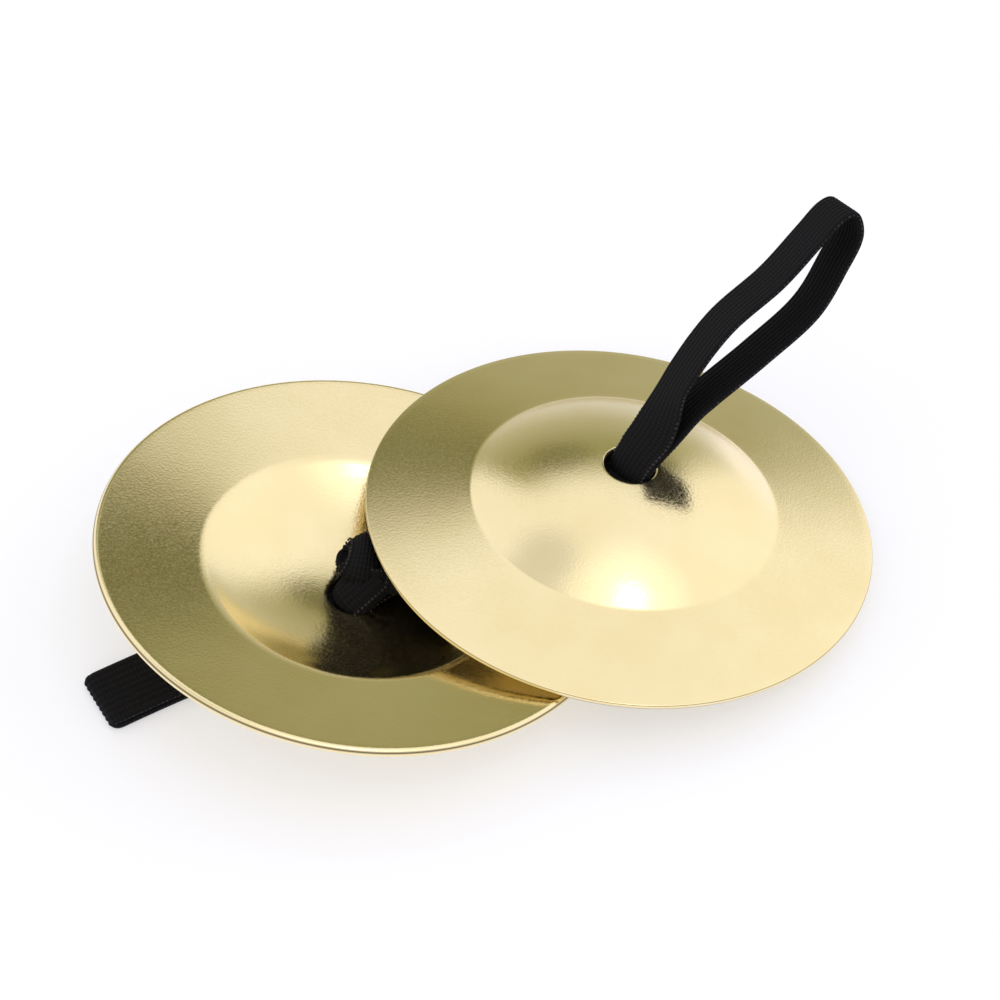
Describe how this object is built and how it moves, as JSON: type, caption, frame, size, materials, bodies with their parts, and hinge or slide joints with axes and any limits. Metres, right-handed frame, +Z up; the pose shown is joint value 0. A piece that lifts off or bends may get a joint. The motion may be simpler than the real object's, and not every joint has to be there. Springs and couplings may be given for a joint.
{
  "type": "finger cymbals",
  "caption": "Pair of small stamped brass cymbals with raised domes, each held by a black elastic finger loop knotted through its centre hole.",
  "frame": {"origin": "centre of the pair's footprint, on the surface it lies on", "axes": "+Z up; +X from the cymbal that lies mouth up towards the one that rests on it; -Y is the side seen from the front"},
  "size_m": [0.097, 0.0734, 0.041],
  "materials": {
    "brass": "satin polished sheet with a fine grain",
    "elastic": "matte ribbed elastic webbing"
  },
  "bodies": {
    "left_cymbal": {"left_cymbal": "brass"},
    "left_knot": {"left_strap_knot": "elastic"},
    "left_loop": {"left_strap_loop": "elastic"},
    "right_cymbal": {"right_cymbal": "brass"},
    "right_knot": {"right_strap_knot": "elastic"},
    "right_loop": {"right_strap_loop": "elastic"}
  },
  "joints": [
    {"name": "right_cymbal_lift", "type": "slide", "parent": "left_cymbal", "child": "right_cymbal", "axis": [0, 0, 1], "range_m": [0, 0.06]},
    {"name": "left_strap_swivel", "type": "hinge", "parent": "left_cymbal", "child": "left_knot", "pos_m": [-0.01661, -0.0058, 0.00125], "axis": [-0.1741, -0.1105, -0.9785], "continuous": true},
    {"name": "left_loop_bend", "type": "hinge", "parent": "left_knot", "child": "left_loop", "pos_m": [-0.01661, -0.0058, 0.0008], "axis": [0.4586, -0.8884, 0.0187], "range_deg": [0, 140], "stiffness_Nm_per_rad": 0.005},
    {"name": "right_strap_swivel", "type": "hinge", "parent": "right_cymbal", "child": "right_knot", "pos_m": [0.01769, 0.00564, 0.01382], "axis": [0.115, 0.0955, 0.9888], "continuous": true},
    {"name": "right_loop_bend", "type": "hinge", "parent": "right_knot", "child": "right_loop", "pos_m": [0.01773, 0.00567, 0.01417], "axis": [-0.5776, 0.8162, -0.0117], "range_deg": [-105, 22], "stiffness_Nm_per_rad": 0.005}
  ]
}
